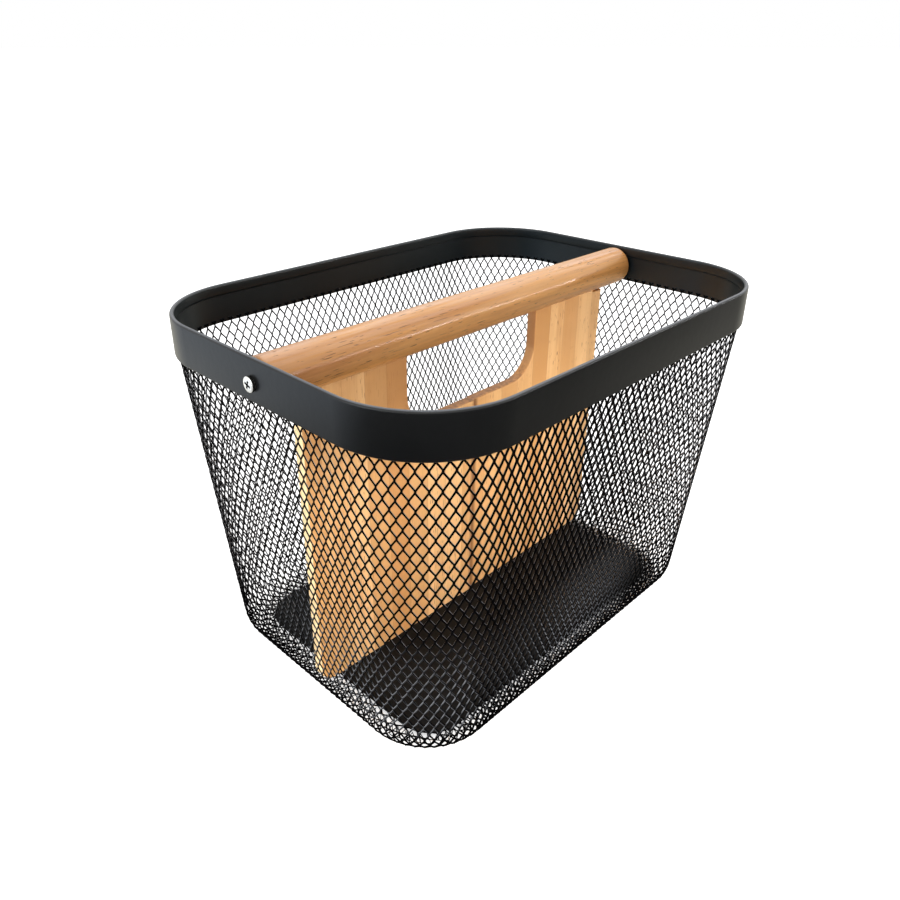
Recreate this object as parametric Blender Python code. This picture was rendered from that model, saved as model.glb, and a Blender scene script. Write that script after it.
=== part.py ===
"""Steel mesh basket with a round wooden handle and an upright wooden divider.

Metres. +Z is up, +X runs along the handle. The origin lies under the middle of the basket,
at the level of the surface that it stands on.
"""

import math

import bmesh
import bpy
from mathutils import Matrix, Vector

# Overall size, over the outside of the rim band
BASKET_LENGTH = 0.300
BASKET_WIDTH = 0.225
BASKET_HEIGHT = 0.212
RIM_CORNER_RADIUS = 0.0535

# Clearance between neighbouring pieces, overrun of a cut, and distance for joining doubled points
FIT_GAP = 0.0003
CUT_OVERRUN = 0.002
WELD_DISTANCE = 0.00001

# Rim band: a folded steel strip with a bead along its upper edge
BAND_HEIGHT = 0.023
BAND_THICKNESS = 0.0016
BAND_EDGE_RADIUS = 0.0013
BEAD_WIDTH = 0.0026
BEAD_DEPTH = 0.0058
BEAD_BLEND = 0.0010

# Mesh tub: tapered walls, a large fillet and a flat floor, joined inside the band's lower edge
MESH_THICKNESS = 0.0012
MESH_OVERLAP = 0.0045
MESH_TAPER = 0.0167
MESH_FILLET_RADIUS = 0.016
FLOOR_CORNER_RADIUS = 0.040

# Expanded sheet of the tub's walls, with pointed openings in staggered rows, wider than the real ones
MESH_CELL_WIDTH = 0.0236
MESH_CELL_HEIGHT = 0.0430
MESH_STRAND_WIDTH = 0.0038

# Base plate, lying on the tub's floor
PLATE_THICKNESS = 0.0008
PLATE_END_MARGIN = 0.0030
PLATE_SIDE_MARGIN = 0.0005
PLATE_CORNER_TRIM = 0.0032

# Handle: a round bar between the band's two short sides
HANDLE_RADIUS = 0.012
HANDLE_DROP = 0.013
HANDLE_END_ROUNDING = 0.0025
MORTISE_DEPTH = 0.007

# Divider: two upright boards that meet at mid-length, with a hand opening below the handle
BOARD_THICKNESS = 0.007
BOARD_EDGE_EASING = 0.0008
BOARD_FOOT_CLEARANCE = 0.0038
BOARD_FLARE = 0.0011
BOARD_FOOT_RADIUS = 0.010
BOARD_SEAM_STEP = 0.0008
TONGUE_SETBACK = 0.010
SHOULDER_GAP = 0.001
OPENING_WIDTH = 0.112
OPENING_DEPTH = 0.043
OPENING_CORNER_RADIUS = 0.020

# Pan head screws, one through each short side of the band into the handle's end
SCREW_HEAD_RADIUS = 0.0047
SCREW_HEAD_HEIGHT = 0.0028
SCREW_HEAD_EDGE = 0.0011
SCREW_SHANK_RADIUS = 0.0022
SCREW_LENGTH = 0.028
SCREW_TIP_LENGTH = 0.004
RECESS_SPAN = 0.0046
RECESS_WIDTH = 0.0011
RECESS_DEPTH = 0.0015
PILOT_TIP_CLEARANCE = 0.001

# Facets
TUB_CORNER_STEPS = 7
CORNER_STEPS = 2 * TUB_CORNER_STEPS
FILLET_STEPS = 4
EDGE_STEPS = 3
TURN_STEPS = 36
SCREW_TURN_STEPS = 24
ARC_STEPS = 8
SMOOTH_ANGLE = math.radians(35)

# Levels and places that follow from the sizes above
HALF_LENGTH = BASKET_LENGTH / 2
HALF_WIDTH = BASKET_WIDTH / 2
BAND_LOW = BASKET_HEIGHT - BAND_HEIGHT
MESH_INSET = BAND_THICKNESS + FIT_GAP
MESH_TOP = BAND_LOW + MESH_OVERLAP
WALL_LEAN = math.atan2(MESH_TAPER, BAND_LOW)
LONG_CELL_STEPS = max(1, round(4 * (HALF_LENGTH - RIM_CORNER_RADIUS) / MESH_CELL_WIDTH))
SHORT_CELL_STEPS = max(1, round(4 * (HALF_WIDTH - RIM_CORNER_RADIUS) / MESH_CELL_WIDTH))
CELL_ROWS = max(2, round(2 * (BAND_LOW - MESH_FILLET_RADIUS) / MESH_CELL_HEIGHT))
FLOOR_SETBACK = MESH_TAPER * (1 - MESH_FILLET_RADIUS / BAND_LOW) + MESH_FILLET_RADIUS / math.cos(WALL_LEAN)
PLATE_LOW = MESH_THICKNESS + FIT_GAP
PLATE_TOP = PLATE_LOW + PLATE_THICKNESS
HANDLE_HEIGHT = BASKET_HEIGHT - HANDLE_DROP
HANDLE_UNDERSIDE = HANDLE_HEIGHT - HANDLE_RADIUS
HANDLE_HALF_LENGTH = HALF_LENGTH - max(BEAD_WIDTH, MESH_INSET + MESH_THICKNESS) - FIT_GAP
MORTISE_TOP = HANDLE_UNDERSIDE + MORTISE_DEPTH
BOARD_FOOT = PLATE_TOP + FIT_GAP
BOARD_TOP = MORTISE_TOP - FIT_GAP
BOARD_SHOULDER = HANDLE_UNDERSIDE - SHOULDER_GAP
BOARD_FOOT_REACH = HALF_LENGTH - MESH_INSET - MESH_TAPER - MESH_THICKNESS - BOARD_FOOT_CLEARANCE
BOARD_TOP_REACH = BOARD_FOOT_REACH + BOARD_FLARE
TONGUE_REACH = BOARD_TOP_REACH - TONGUE_SETBACK
OPENING_REACH = OPENING_WIDTH / 2
OPENING_FLOOR = HANDLE_UNDERSIDE - OPENING_DEPTH
SCREW_SEAT = HALF_LENGTH + FIT_GAP
SCREW_HOLE_RADIUS = SCREW_SHANK_RADIUS + FIT_GAP


def clear_scene():
    for item in list(bpy.data.objects):
        bpy.data.objects.remove(item, do_unlink=True)


def make_material(name, colour, metallic, roughness):
    made = bpy.data.materials.new(name)
    made.use_nodes = True
    shader = made.node_tree.nodes["Principled BSDF"]
    shader.inputs["Base Color"].default_value = (*colour, 1.0)
    shader.inputs["Metallic"].default_value = metallic
    shader.inputs["Roughness"].default_value = roughness
    return made


def add_object(name, bm, material):
    """Turns a bmesh into an object of the scene, shaded smooth except across sharp edges."""
    mesh = bpy.data.meshes.new(name)
    bm.to_mesh(mesh)
    bm.free()
    mesh.materials.append(material)
    mesh.shade_smooth()
    mesh.set_sharp_from_angle(angle=SMOOTH_ANGLE)
    made = bpy.data.objects.new(name, mesh)
    bpy.context.scene.collection.objects.link(made)
    return made


def make_cutter(name, bm, material):
    made = add_object(name, bm, material)
    made.hide_render = True
    made.display_type = "WIRE"
    return made


def cut(target, cutter):
    step = target.modifiers.new("cut_" + cutter.name, "BOOLEAN")
    step.operation = "DIFFERENCE"
    step.solver = "EXACT"
    step.object = cutter


def ease_edges(target, width):
    step = target.modifiers.new("eased_edges", "BEVEL")
    step.width = width
    step.segments = 2
    step.limit_method = "ANGLE"
    step.angle_limit = SMOOTH_ANGLE


def arc(centre, radius, start, end, steps):
    """Points on an arc in a plane, both ends included."""
    points = []
    for step in range(steps + 1):
        turn = start + (end - start) * step / steps
        points.append((centre[0] + radius * math.cos(turn), centre[1] + radius * math.sin(turn)))
    return points


def rounded_rectangle(half_length, half_width, radius, corner_steps=CORNER_STEPS):
    """Outline in the XY plane, counter-clockwise seen from above."""
    points = []
    for quarter, (side_x, side_y) in enumerate(((1, 1), (-1, 1), (-1, -1), (1, -1))):
        centre = (side_x * (half_length - radius), side_y * (half_width - radius))
        start = quarter * math.pi / 2
        points += arc(centre, radius, start, start + math.pi / 2, corner_steps)
    return points


def add_ring(bm, outline, height):
    return [bm.verts.new((x, y, height)) for x, y in outline]


def skin_rings(bm, rings):
    """Faces between neighbouring rings, whose points stand in the same order."""
    for lower, upper in zip(rings, rings[1:]):
        for i in range(len(lower)):
            bm.faces.new((lower[i - 1], lower[i], upper[i], upper[i - 1]))


def band_outline(inset):
    return rounded_rectangle(HALF_LENGTH - inset, HALF_WIDTH - inset, RIM_CORNER_RADIUS - inset)


def tub_outline(setback):
    """Outside of the tub where it stands in by setback, with a point at every half opening."""
    top_radius = RIM_CORNER_RADIUS - MESH_INSET
    if setback <= MESH_TAPER:
        radius = top_radius + (FLOOR_CORNER_RADIUS - top_radius) * setback / MESH_TAPER
    else:
        radius = FLOOR_CORNER_RADIUS - (setback - MESH_TAPER)
    corners = rounded_rectangle(
        HALF_LENGTH - MESH_INSET - setback, HALF_WIDTH - MESH_INSET - setback, radius, TUB_CORNER_STEPS
    )
    points = []
    quarter_size = TUB_CORNER_STEPS + 1
    for quarter in range(4):
        points += corners[quarter * quarter_size:(quarter + 1) * quarter_size]
        start = Vector(points[-1])
        end = Vector(corners[(quarter + 1) * quarter_size % len(corners)])
        steps = SHORT_CELL_STEPS if quarter % 2 else LONG_CELL_STEPS
        points += [tuple(start.lerp(end, step / steps)) for step in range(1, steps)]
    return points


def build_rim_band(material):
    """One closed section, as inset from the outline and height, carried round the rim."""
    bead_radius = BEAD_WIDTH / 2
    section = arc(
        (BAND_EDGE_RADIUS, BAND_LOW + BAND_EDGE_RADIUS), BAND_EDGE_RADIUS, math.pi, 1.5 * math.pi, EDGE_STEPS
    )
    section += [
        (BAND_THICKNESS, BAND_LOW),
        (BAND_THICKNESS, BASKET_HEIGHT - BEAD_DEPTH - BEAD_BLEND),
        (BEAD_WIDTH, BASKET_HEIGHT - BEAD_DEPTH),
    ]
    section += arc((bead_radius, BASKET_HEIGHT - bead_radius), bead_radius, 0, math.pi, 2 * EDGE_STEPS)
    bm = bmesh.new()
    rings = [add_ring(bm, band_outline(inset), height) for inset, height in section]
    skin_rings(bm, rings + rings[:1])
    bmesh.ops.recalc_face_normals(bm, faces=bm.faces)
    return add_object("rim_band", bm, material)


def add_openwork(bm, rows):
    """Four-sided cells between the rows of points, each staggered by half a cell from the next row."""
    count = len(rows[0])
    cells = []
    for line in range(len(rows)):
        for column in range((line + 1) % 2, count, 2):
            beside = [rows[line][(column + step) % count] for step in (-1, 1)]
            over = rows[max(line - 1, 0)][column]
            under = rows[min(line + 1, len(rows) - 1)][column]
            cells.append(bm.faces.new((beside[0], under, beside[1], over)))
    return cells


def open_cells(bm, cells):
    """Leaves half a strand along each side of each cell."""
    bmesh.ops.inset_individual(bm, faces=cells, thickness=MESH_STRAND_WIDTH / 2, use_even_offset=True)
    bmesh.ops.delete(bm, geom=cells, context="FACES_ONLY")
    spare = [vert for vert in bm.verts if not vert.link_faces]
    bmesh.ops.delete(bm, geom=spare, context="VERTS")


def build_mesh_body(material):
    """The tub's outer skin from the upper edge down to the floor, then its thickness inwards."""
    centre = (FLOOR_SETBACK, MESH_FILLET_RADIUS)
    fillet = arc(centre, MESH_FILLET_RADIUS, math.pi + WALL_LEAN, 1.5 * math.pi, FILLET_STEPS)
    wall_top, wall_end = Vector((0, BAND_LOW)), Vector(fillet[0])
    bm = bmesh.new()
    edge = add_ring(bm, tub_outline(0), MESH_TOP)
    rows = []
    for line in range(CELL_ROWS + 1):
        setback, height = wall_top.lerp(wall_end, line / CELL_ROWS)
        rows.append(add_ring(bm, tub_outline(setback), height))
    rings = rows[-1:] + [add_ring(bm, tub_outline(setback), height) for setback, height in fillet[1:]]
    skin_rings(bm, [edge, rows[0]])
    cells = add_openwork(bm, rows)
    skin_rings(bm, rings)
    floor = bm.faces.new(rings[-1])
    bmesh.ops.recalc_face_normals(bm, faces=bm.faces)
    if floor.normal.z > 0:
        bmesh.ops.reverse_faces(bm, faces=bm.faces)
    open_cells(bm, cells)
    tub = add_object("mesh_body", bm, material)
    wall = tub.modifiers.new("wall_thickness", "SOLIDIFY")
    wall.thickness = MESH_THICKNESS
    wall.offset = -1
    wall.use_even_offset = True
    return tub


def build_base_plate(material):
    outline = rounded_rectangle(
        HALF_LENGTH - MESH_INSET - FLOOR_SETBACK - PLATE_END_MARGIN,
        HALF_WIDTH - MESH_INSET - FLOOR_SETBACK - PLATE_SIDE_MARGIN,
        FLOOR_CORNER_RADIUS - (FLOOR_SETBACK - MESH_TAPER) - PLATE_CORNER_TRIM,
    )
    bm = bmesh.new()
    rings = [add_ring(bm, outline, height) for height in (PLATE_LOW, PLATE_TOP)]
    skin_rings(bm, rings)
    for ring in rings:
        bm.faces.new(ring)
    bmesh.ops.recalc_face_normals(bm, faces=bm.faces)
    return add_object("base_plate", bm, material)


def turned(profile, steps):
    """A solid turned round the X axis, from a profile of places along X and radii."""
    bm = bmesh.new()
    points = [bm.verts.new((along, radius, 0)) for along, radius in profile]
    edges = [bm.edges.new(pair) for pair in zip(points, points[1:])]
    bmesh.ops.spin(
        bm, geom=points + edges, cent=(0, 0, 0), axis=(1, 0, 0), angle=2 * math.pi, steps=steps, use_merge=True
    )
    bmesh.ops.remove_doubles(bm, verts=bm.verts, dist=WELD_DISTANCE)
    bmesh.ops.recalc_face_normals(bm, faces=bm.faces)
    return bm


def box(low, high):
    bm = bmesh.new()
    bmesh.ops.create_cube(bm, size=1)
    low, high = Vector(low), Vector(high)
    bmesh.ops.scale(bm, verts=bm.verts, vec=high - low)
    bmesh.ops.translate(bm, verts=bm.verts, vec=(low + high) / 2)
    return bm


def drill(target, name, start, end, material):
    """Cuts a round hole for a screw's shank, along X on the handle's axis."""
    bm = turned([(start, 0), (start, SCREW_HOLE_RADIUS), (end, SCREW_HOLE_RADIUS), (end, 0)], SCREW_TURN_STEPS)
    half_facet = Matrix.Rotation(math.pi / SCREW_TURN_STEPS, 4, "X")
    bmesh.ops.transform(bm, matrix=Matrix.Translation((0, 0, HANDLE_HEIGHT)) @ half_facet, verts=bm.verts)
    cut(target, make_cutter(name, bm, material))


def board_offset(side):
    """The left board stands slightly forward of the right one at their seam."""
    return side * BOARD_SEAM_STEP / 2


def build_handle(material):
    end = HANDLE_HALF_LENGTH - HANDLE_END_ROUNDING
    radius = HANDLE_RADIUS - HANDLE_END_ROUNDING
    rounded = arc((end, radius), HANDLE_END_ROUNDING, math.pi / 2, 0, EDGE_STEPS)
    profile = [(-HANDLE_HALF_LENGTH, 0)]
    profile += [(-along, out) for along, out in reversed(rounded)]
    profile += rounded + [(HANDLE_HALF_LENGTH, 0)]
    bm = turned(profile, TURN_STEPS)
    bmesh.ops.translate(bm, verts=bm.verts, vec=(0, 0, HANDLE_HEIGHT))
    handle = add_object("handle_bar", bm, material)
    half_slot = BOARD_THICKNESS / 2 + FIT_GAP
    pilot_reach = SCREW_SEAT - SCREW_LENGTH - PILOT_TIP_CLEARANCE
    for side, name in ((-1, "left"), (1, "right")):
        ends = sorted((side * (OPENING_REACH - FIT_GAP), side * (TONGUE_REACH + FIT_GAP)))
        middle = board_offset(side)
        slot = box(
            (ends[0], middle - half_slot, HANDLE_UNDERSIDE - CUT_OVERRUN),
            (ends[1], middle + half_slot, MORTISE_TOP),
        )
        cut(handle, make_cutter("mortise_" + name, slot, material))
        drill(handle, "pilot_" + name, side * pilot_reach, side * HALF_LENGTH, material)
    return handle


def board_outline():
    """Right-hand board in the XZ plane, anticlockwise from its foot at the seam."""
    seam = FIT_GAP / 2
    lean = (BOARD_TOP_REACH - BOARD_FOOT_REACH) / (BOARD_SHOULDER - BOARD_FOOT)
    outline = [(seam, BOARD_FOOT)]
    foot_centre = (BOARD_FOOT_REACH - BOARD_FOOT_RADIUS, BOARD_FOOT + BOARD_FOOT_RADIUS)
    outline += arc(foot_centre, BOARD_FOOT_RADIUS, -math.pi / 2, -math.atan(lean), ARC_STEPS)
    outline += [
        (BOARD_TOP_REACH, BOARD_SHOULDER),
        (TONGUE_REACH, BOARD_SHOULDER),
        (TONGUE_REACH, BOARD_TOP),
        (OPENING_REACH, BOARD_TOP),
    ]
    corner = (OPENING_REACH - OPENING_CORNER_RADIUS, OPENING_FLOOR + OPENING_CORNER_RADIUS)
    outline += arc(corner, OPENING_CORNER_RADIUS, 0, -math.pi / 2, ARC_STEPS)
    outline.append((seam, OPENING_FLOOR))
    return outline


def build_board(name, side, material):
    """An upright board, as its outline pushed out to its thickness."""
    bm = bmesh.new()
    near = board_offset(side) - BOARD_THICKNESS / 2
    face = bm.faces.new([bm.verts.new((side * x, near, z)) for x, z in board_outline()])
    pushed = bmesh.ops.extrude_face_region(bm, geom=[face])["geom"]
    moved = [item for item in pushed if isinstance(item, bmesh.types.BMVert)]
    bmesh.ops.translate(bm, verts=moved, vec=(0, BOARD_THICKNESS, 0))
    bmesh.ops.recalc_face_normals(bm, faces=bm.faces)
    board = add_object(name, bm, material)
    ease_edges(board, BOARD_EDGE_EASING)
    return board


def screw_profile():
    """Pan head, plain shank and pointed tip, along X with the head's underside at zero."""
    dome_height = SCREW_HEAD_HEIGHT - SCREW_HEAD_EDGE
    profile = [(-SCREW_HEAD_HEIGHT, 0)]
    for step in range(1, EDGE_STEPS + 1):
        turn = step * math.pi / 2 / EDGE_STEPS
        profile.append(
            (-SCREW_HEAD_EDGE - dome_height * math.cos(turn), SCREW_HEAD_RADIUS * math.sin(turn))
        )
    profile += [
        (0, SCREW_HEAD_RADIUS),
        (0, SCREW_SHANK_RADIUS),
        (SCREW_LENGTH - SCREW_TIP_LENGTH, SCREW_SHANK_RADIUS),
        (SCREW_LENGTH, 0),
    ]
    return profile


def build_screw(name, side, material):
    bm = turned(screw_profile(), SCREW_TURN_STEPS)
    place = Matrix.Translation((side * SCREW_SEAT, 0, HANDLE_HEIGHT))
    if side > 0:
        place = place @ Matrix.Rotation(math.pi, 4, "Z")
    bmesh.ops.transform(bm, matrix=place, verts=bm.verts)
    screw = add_object(name, bm, material)
    for slot, turn in (("recess_a", 0), ("recess_b", math.pi / 2)):
        cross = box(
            (-SCREW_HEAD_HEIGHT - CUT_OVERRUN, -RECESS_SPAN / 2, -RECESS_WIDTH / 2),
            (-SCREW_HEAD_HEIGHT + RECESS_DEPTH, RECESS_SPAN / 2, RECESS_WIDTH / 2),
        )
        bmesh.ops.transform(cross, matrix=place @ Matrix.Rotation(turn, 4, "X"), verts=cross.verts)
        cut(screw, make_cutter(name + "_" + slot, cross, material))
    return screw


def drill_band(band, material):
    """One hole through each short side of the band for its screw."""
    inside = HALF_LENGTH - BEAD_WIDTH - CUT_OVERRUN
    outside = HALF_LENGTH + CUT_OVERRUN
    for side, name in ((-1, "left"), (1, "right")):
        drill(band, "band_hole_" + name, side * inside, side * outside, material)


def main():
    clear_scene()
    painted_steel = make_material("painted_steel", (0.022, 0.023, 0.025), 0.0, 0.42)
    mesh_steel = make_material("mesh_steel", (0.018, 0.019, 0.021), 0.0, 0.45)
    plate_steel = make_material("plate_steel", (0.016, 0.016, 0.017), 0.0, 0.5)
    handle_wood = make_material("handle_wood", (0.62, 0.36, 0.17), 0.0, 0.35)
    board_wood = make_material("board_wood", (0.72, 0.46, 0.24), 0.0, 0.45)
    screw_steel = make_material("screw_steel", (0.75, 0.74, 0.72), 1.0, 0.25)

    band = build_rim_band(painted_steel)
    drill_band(band, painted_steel)
    build_mesh_body(mesh_steel)
    build_base_plate(plate_steel)
    build_handle(handle_wood)
    for side, end in ((-1, "left"), (1, "right")):
        build_board("divider_board_" + end, side, board_wood)
        build_screw("screw_" + end, side, screw_steel)


main()
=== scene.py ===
import math

import bmesh
import bpy
from mathutils import Matrix, Vector


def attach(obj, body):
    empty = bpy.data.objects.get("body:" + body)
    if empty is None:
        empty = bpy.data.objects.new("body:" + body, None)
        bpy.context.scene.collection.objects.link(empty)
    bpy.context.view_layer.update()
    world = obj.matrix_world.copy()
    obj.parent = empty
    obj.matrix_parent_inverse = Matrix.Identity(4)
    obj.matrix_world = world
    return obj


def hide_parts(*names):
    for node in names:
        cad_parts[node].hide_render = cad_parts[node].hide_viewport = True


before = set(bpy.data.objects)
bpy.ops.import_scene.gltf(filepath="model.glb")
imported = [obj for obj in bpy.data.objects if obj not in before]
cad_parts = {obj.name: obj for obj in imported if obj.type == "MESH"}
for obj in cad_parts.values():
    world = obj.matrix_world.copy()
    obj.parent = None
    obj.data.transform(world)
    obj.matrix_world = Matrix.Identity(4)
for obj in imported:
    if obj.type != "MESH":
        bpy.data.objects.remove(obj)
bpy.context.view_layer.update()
scene = bpy.context.scene
mergeDistance = 0.00001
cutDistance = 0.000001
sameSpot = 0.0001
sharpAngle = 35


# Small helpers for pieces and nodes

def addPiece(name, bm, material, smoothAngle=sharpAngle):
    mesh = bpy.data.meshes.new(name)
    bm.to_mesh(mesh)
    bm.free()
    mesh.materials.append(material)
    mesh.shade_smooth()
    mesh.set_sharp_from_angle(angle=math.radians(smoothAngle))
    piece = bpy.data.objects.new(name, mesh)
    scene.collection.objects.link(piece)
    print("made", name, "with", len(mesh.polygons), "faces")
    return piece


def newVerts(made):
    return [item for item in made["geom"] if isinstance(item, bmesh.types.BMVert)]


def openEdges(made):
    return [item for item in made["geom"] if isinstance(item, bmesh.types.BMEdge) and item.is_boundary]


def roundOff(bm, parts, offset, segments, affect="EDGES"):
    bmesh.ops.bevel(
        bm, geom=parts, offset=offset, offset_type="OFFSET", segments=segments,
        profile=0.5, affect=affect, material=-1)


# takes the cutter's space out of the piece and throws the cutter away
def cutAway(piece, cutterMesh):
    mesh = bpy.data.meshes.new("cutter")
    cutterMesh.to_mesh(mesh)
    cutterMesh.free()
    cutter = bpy.data.objects.new("cutter", mesh)
    scene.collection.objects.link(cutter)
    step = piece.modifiers.new("cut", "BOOLEAN")
    step.operation = "DIFFERENCE"
    step.solver = "EXACT"
    step.object = cutter
    graph = bpy.context.evaluated_depsgraph_get()
    kept = bpy.data.meshes.new_from_object(piece.evaluated_get(graph))
    piece.modifiers.clear()
    piece.data = kept
    bpy.data.objects.remove(cutter, do_unlink=True)
    kept.shade_smooth()
    kept.set_sharp_from_angle(angle=math.radians(sharpAngle))


def boxMesh(low, high):
    bm = bmesh.new()
    bmesh.ops.create_cube(bm, size=1)
    low, high = Vector(low), Vector(high)
    bmesh.ops.scale(bm, verts=bm.verts, vec=high - low)
    bmesh.ops.translate(bm, verts=bm.verts, vec=(low + high) / 2)
    return bm


# a node with its settings, and its inputs given as plain values or as the sockets that feed them
def addNode(tree, kind, inputs=None, **settings):
    node = tree.nodes.new(kind)
    for key, value in settings.items():
        setattr(node, key, value)
    for key, value in (inputs or {}).items():
        if isinstance(value, bpy.types.NodeSocket):
            tree.links.new(value, node.inputs[key])
        else:
            node.inputs[key].default_value = value
    return node


def addMath(tree, operation, first, second=0.0, third=0.0, clamp=False):
    node = addNode(tree, "ShaderNodeMath", {0: first, 1: second, 2: third}, operation=operation, use_clamp=clamp)
    return node.outputs[0]


def addProduct(tree, first, *others):
    for other in others:
        first = addMath(tree, "MULTIPLY", first, other)
    return first


def addVector(tree, operation, first, second=(0, 0, 0)):
    node = addNode(tree, "ShaderNodeVectorMath", {0: first, 1: second}, operation=operation)
    return node.outputs["Value" if operation in ("LENGTH", "DOT_PRODUCT") else "Vector"]


def partsOf(tree, vector):
    return addNode(tree, "ShaderNodeSeparateXYZ", {0: vector}).outputs


def addNoise(tree, place, scale, detail, roughness=0.5, distortion=0.0):
    node = addNode(tree, "ShaderNodeTexNoise", {
        "Vector": place, "Scale": scale, "Detail": detail, "Roughness": roughness, "Distortion": distortion})
    return node.outputs["Fac"]


def addRange(tree, value, low, high, toLow=0.0, toHigh=1.0):
    node = addNode(tree, "ShaderNodeMapRange", {
        "Value": value, "From Min": low, "From Max": high, "To Min": toLow, "To Max": toHigh})
    return node.outputs["Result"]


# the colour sockets of the mix node are its seventh and eighth inputs and its third output
def addMix(tree, factor, first, second, blend="MIX"):
    node = addNode(tree, "ShaderNodeMix", {0: factor, 6: first, 7: second}, data_type="RGBA", blend_type=blend)
    return node.outputs[2]


# an empty node group with its sockets, and the sockets of its input and output nodes
def addGroup(name, inputs, outputs):
    group = bpy.data.node_groups.new(name, "ShaderNodeTree")
    kinds = {"vector": "NodeSocketVector", "value": "NodeSocketFloat", "colour": "NodeSocketColor"}
    for way, sockets in (("INPUT", inputs), ("OUTPUT", outputs)):
        for label, kind in sockets.items():
            group.interface.new_socket(label, in_out=way, socket_type=kinds[kind])
    return group, group.nodes.new("NodeGroupInput").outputs, group.nodes.new("NodeGroupOutput").inputs


# a material with its constants on the shader's own sockets
def newMaterial(name, settings):
    material = bpy.data.materials.new(name)
    material.use_nodes = True
    tree = material.node_tree
    shader = tree.nodes["Principled BSDF"]
    for key, value in settings.items():
        shader.inputs[key].default_value = value
    place = addNode(tree, "ShaderNodeTexCoord").outputs["Object"]
    return material, tree, shader, place


def linkBump(tree, shader, height, finish):
    bump = addNode(tree, "ShaderNodeBump", {
        "Height": height, "Strength": finish["bump"], "Distance": finish["bumpDepth"]})
    tree.links.new(bump.outputs[0], shader.inputs["Normal"])


# Shared effects

# powder coat: a fine pebbled skin, slow changes of gloss and thin dust; noises as scale, detail and roughness
coatSkin = {
    "pebble": (1500.0, 2.0, 0.5), "swell": (260.0, 1.0, 0.4), "cloud": (24.0, 3.0, 0.6), "speck": (900.0, 1.0, 0.5),
    "specksOver": (0.70, 0.78), "cloudsOver": (0.40, 0.75), "speckShare": 0.5, "dustShare": 0.10,
    "dustColour": (0.42, 0.42, 0.43, 1), "pebbleHeight": 0.35,
}


def buildCoatGroup():
    group, given, made = addGroup(
        "powderCoat",
        {"Place": "vector", "Colour": "colour", "Dust": "value", "Gloss Change": "value", "Roughness": "value",
         "Painted Light Colour": "colour", "Painted Light": "value"},
        {"Colour": "colour", "Roughness": "value", "Height": "value"})
    pebble, swell, cloud, speck = [
        addNoise(group, given["Place"], *coatSkin[kind]) for kind in ("pebble", "swell", "cloud", "speck")]
    specks = addProduct(group, addRange(group, speck, *coatSkin["specksOver"]), coatSkin["speckShare"])
    clouds = addRange(group, cloud, *coatSkin["cloudsOver"])
    dust = addProduct(group, addMath(group, "ADD", specks, clouds), coatSkin["dustShare"])
    dust = addMath(group, "MULTIPLY", dust, given["Dust"], clamp=True)
    dusty = addMix(group, dust, given["Colour"], coatSkin["dustColour"])
    # painted light mixed over the dusty colour: a highlight on the band's upward faces and lit faces on the mesh
    # strands
    group.links.new(addMix(group, given["Painted Light"], dusty, given["Painted Light Colour"]), made["Colour"])
    change = addProduct(group, addMath(group, "SUBTRACT", cloud, 0.5), given["Gloss Change"])
    group.links.new(addMath(group, "ADD", given["Roughness"], change, clamp=True), made["Roughness"])
    height = addMath(group, "ADD", addProduct(group, pebble, coatSkin["pebbleHeight"]), swell)
    group.links.new(height, made["Height"])
    return group


# wood whose fibres run along Z: slow figure, fine fibres and short dark pores; noises as in the coat, then distortion
woodNoise = {
    "figureStretch": (1, 1, 0.07), "fibreStretch": (1, 1, 0.02),
    "figure": (110.0, 3.0, 0.55, 0.6), "fibre": (900.0, 2.0, 0.6),
    "pore": (2000.0, 0.0), "gather": (160.0, 1.0), "gatherShare": 0.22, "poresOver": (0.845, 0.885),
    "figureOver": (0.36, 0.66), "fibreHeight": 0.4,
}


def buildGrainGroup():
    group, given, made = addGroup(
        "woodGrain",
        {"Place": "vector", "Light": "colour", "Dark": "colour", "Pore": "colour", "Figure": "value",
         "Fibre": "value", "Pores": "value", "Pore Length": "value"},
        {"Colour": "colour", "Height": "value"})
    slow = addVector(group, "MULTIPLY", given["Place"], woodNoise["figureStretch"])
    figure = addNoise(group, slow, *woodNoise["figure"])
    long = addVector(group, "MULTIPLY", given["Place"], woodNoise["fibreStretch"])
    fibre = addNoise(group, long, *woodNoise["fibre"])
    stretch = addNode(group, "ShaderNodeCombineXYZ", {"X": 1.0, "Y": 1.0, "Z": given["Pore Length"]})
    scaled = addVector(group, "MULTIPLY", given["Place"], stretch.outputs[0])
    pore = addNoise(group, scaled, *woodNoise["pore"])
    gather = addNoise(group, slow, *woodNoise["gather"])
    level = addMath(group, "ADD", pore, addProduct(group, gather, woodNoise["gatherShare"]))
    mask = addRange(group, level, *woodNoise["poresOver"])
    broad = addProduct(group, addRange(group, figure, *woodNoise["figureOver"]), given["Figure"])
    fine = addProduct(group, addMath(group, "SUBTRACT", fibre, 0.5), given["Fibre"])
    shade = addMath(group, "ADD", broad, fine, clamp=True)
    colour = addMix(group, shade, given["Light"], given["Dark"])
    poreShare = addMath(group, "MULTIPLY", mask, given["Pores"], clamp=True)
    group.links.new(addMix(group, poreShare, colour, given["Pore"]), made["Colour"])
    height = addMath(group, "SUBTRACT", addProduct(group, fibre, woodNoise["fibreHeight"]), mask)
    group.links.new(height, made["Height"])
    return group


coatGroup = buildCoatGroup()
grainGroup = buildGrainGroup()
print("shared node groups are ready")


innerFaces = (-0.2, -0.5)     # from faces turned a little inwards to faces that look at the basket's middle
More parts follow.
